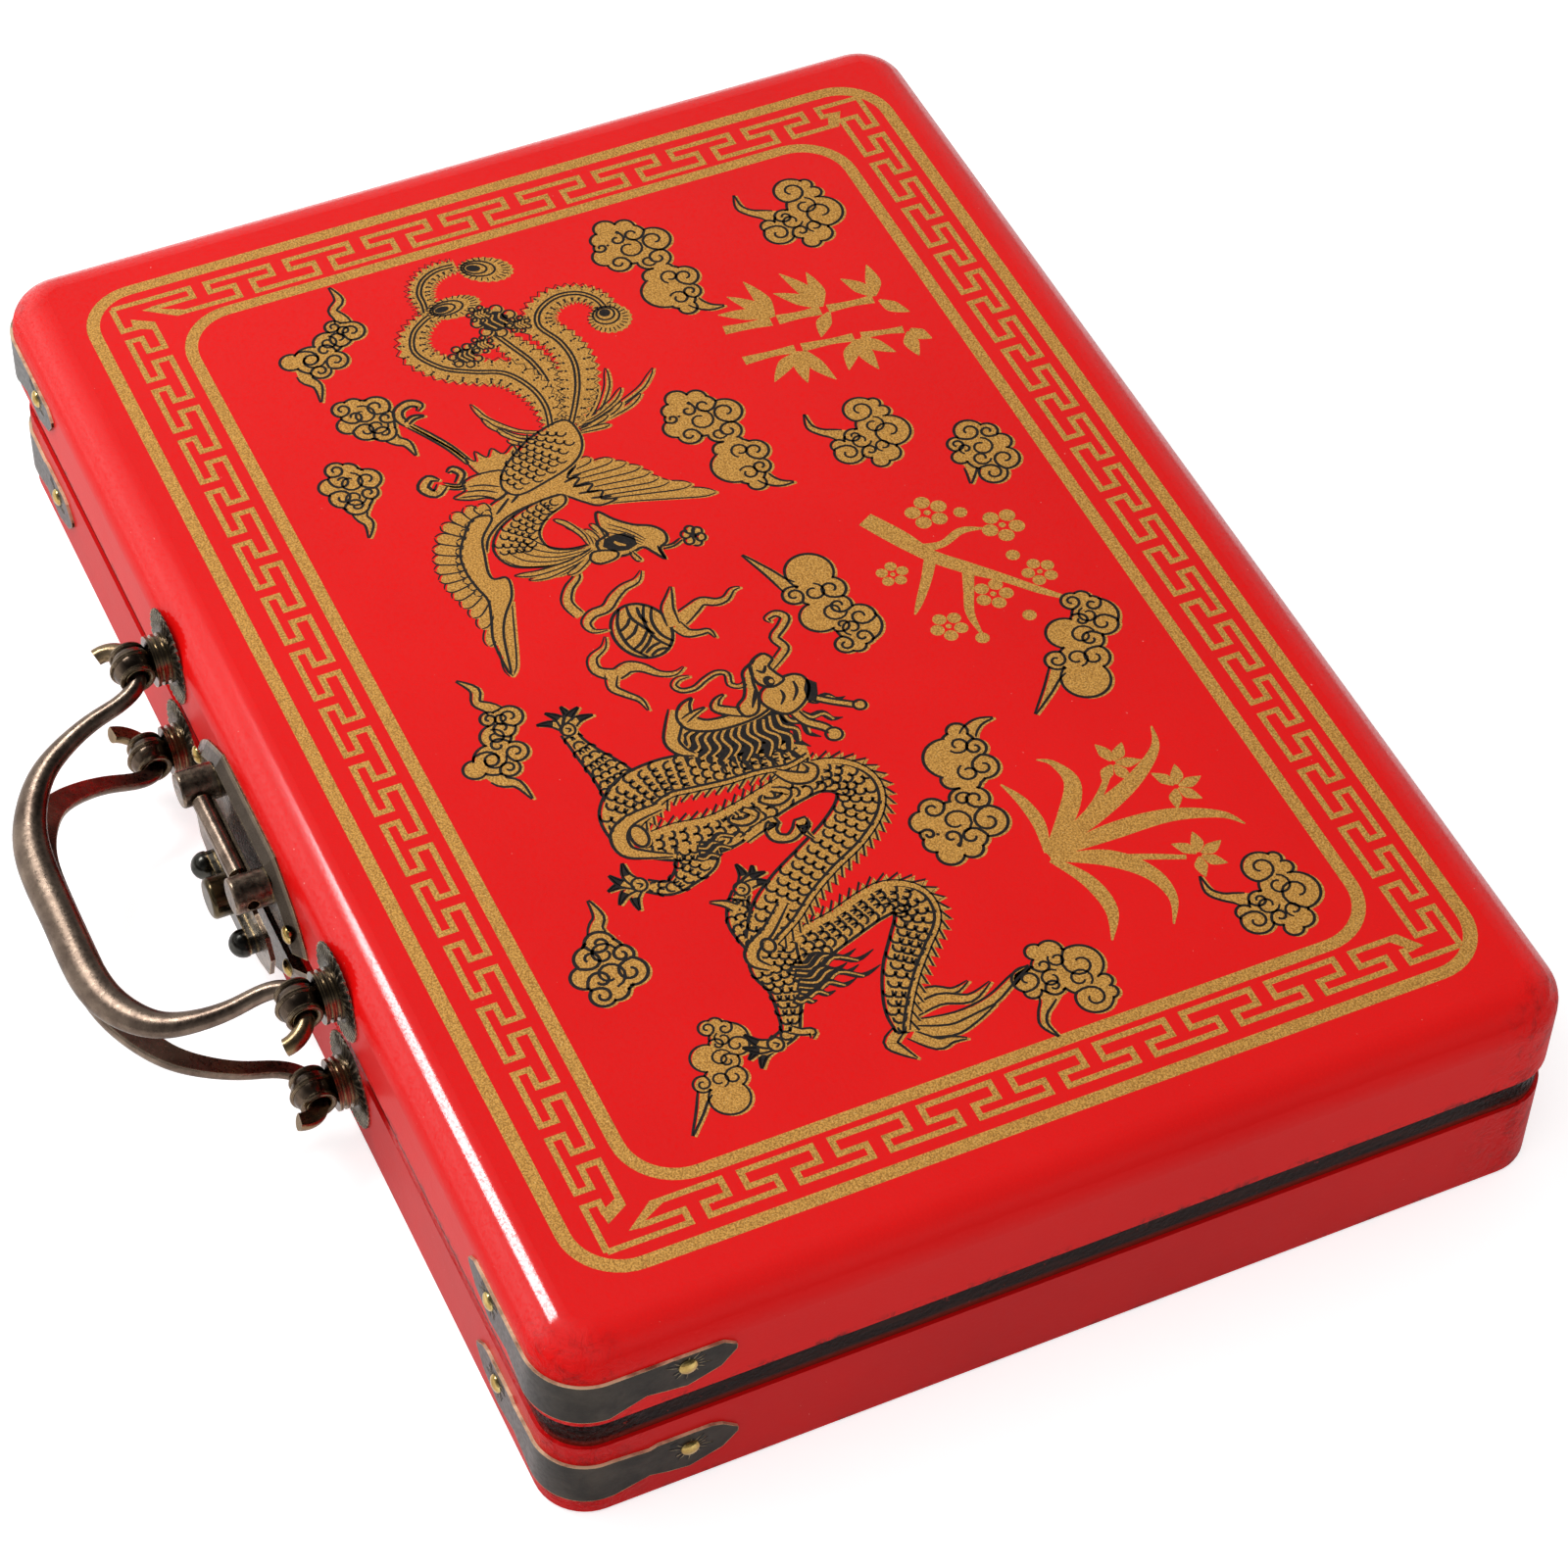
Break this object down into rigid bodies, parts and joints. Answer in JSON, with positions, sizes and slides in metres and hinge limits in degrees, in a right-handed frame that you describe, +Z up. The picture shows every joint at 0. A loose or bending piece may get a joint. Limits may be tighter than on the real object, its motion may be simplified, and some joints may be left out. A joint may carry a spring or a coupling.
{
  "type": "mahjong case",
  "caption": "Flat two-part leather-covered box with a hinged lid, front flap latch, paired folding handles and lined inner trays.",
  "frame": {"origin": "on the underside, below the middle of the lid", "axes": "+X runs to the right along the front, +Y from front to back, +Z up"},
  "size_m": [0.2426, 0.2054, 0.0415],
  "materials": {
    "red_leather": "glossy coated leather",
    "board_wood": "bare board",
    "dark_rim": "dark brown lacquer",
    "lining_cloth": "short-pile lining cloth",
    "antique_bronze": "dark antique finish, worn to brass on the edges",
    "bright_brass": "polished"
  },
  "bodies": {
    "base": {"base_back_board": "board_wood", "base_bottom_board": "board_wood", "base_bottom_leather": "red_leather", "base_corner_strap_left": "antique_bronze", "base_corner_strap_right": "antique_bronze", "base_eye_left": "antique_bronze", "base_eye_nuts": "antique_bronze", "base_eye_right": "antique_bronze", "base_front_board": "board_wood", "base_hinge_leaf_left": "antique_bronze", "base_hinge_leaf_right": "antique_bronze", "base_latch_plate": "antique_bronze", "base_leaf_nails": "bright_brass", "base_left_board": "board_wood", "base_plate_nails": "bright_brass", "base_right_board": "board_wood", "base_rosette_left": "antique_bronze", "base_rosette_right": "antique_bronze", "base_side_leather": "red_leather", "base_strap_nails": "bright_brass", "cross_divider": "lining_cloth", "floor_lining": "lining_cloth", "hinge_pins": "antique_bronze", "inner_frame": "dark_rim", "latch_catch": "antique_bronze", "rim_back_strip": "dark_rim", "rim_front_strip": "dark_rim", "rim_left_strip": "dark_rim", "rim_right_strip": "dark_rim", "side_divider": "lining_cloth"},
    "lid": {"lid_back_board": "board_wood", "lid_corner_strap_left": "antique_bronze", "lid_corner_strap_right": "antique_bronze", "lid_eye_left": "antique_bronze", "lid_eye_nuts": "antique_bronze", "lid_eye_right": "antique_bronze", "lid_front_board": "board_wood", "lid_hinge_leaf_left": "antique_bronze", "lid_hinge_leaf_right": "antique_bronze", "lid_latch_plate": "antique_bronze", "lid_leaf_nails": "bright_brass", "lid_leather": "red_leather", "lid_left_board": "board_wood", "lid_lining": "lining_cloth", "lid_plate_nails": "bright_brass", "lid_right_board": "board_wood", "lid_rosette_left": "antique_bronze", "lid_rosette_right": "antique_bronze", "lid_strap_nails": "bright_brass", "lid_top_board": "board_wood", "latch_post_left": "antique_bronze", "latch_post_right": "antique_bronze", "latch_pin": "antique_bronze"},
    "lid_handle": {"lid_handle": "antique_bronze"},
    "base_handle": {"base_handle": "antique_bronze"},
    "latch_flap": {"latch_flap": "antique_bronze", "flap_bar": "antique_bronze", "flap_knob": "antique_bronze", "flap_studs": "antique_bronze"}
  },
  "joints": [
    {"name": "lid_hinge", "type": "hinge", "parent": "base", "child": "lid", "pos_m": [0, 0.0854, 0.02075], "axis": [-1, 0, 0], "range_deg": [0, 180]},
    {"name": "lid_handle_hinge", "type": "hinge", "parent": "lid", "child": "lid_handle", "pos_m": [0.002, -0.0892, 0.0323], "axis": [-1, 0, 0], "range_deg": [0, 85]},
    {"name": "base_handle_hinge", "type": "hinge", "parent": "base", "child": "base_handle", "pos_m": [0.002, -0.0882, 0.0104], "axis": [-1, 0, 0], "range_deg": [-70, 0]},
    {"name": "latch_flap_hinge", "type": "hinge", "parent": "lid", "child": "latch_flap", "pos_m": [0.002, -0.0882, 0.03], "axis": [-1, 0, 0], "range_deg": [0, 120]}
  ]
}
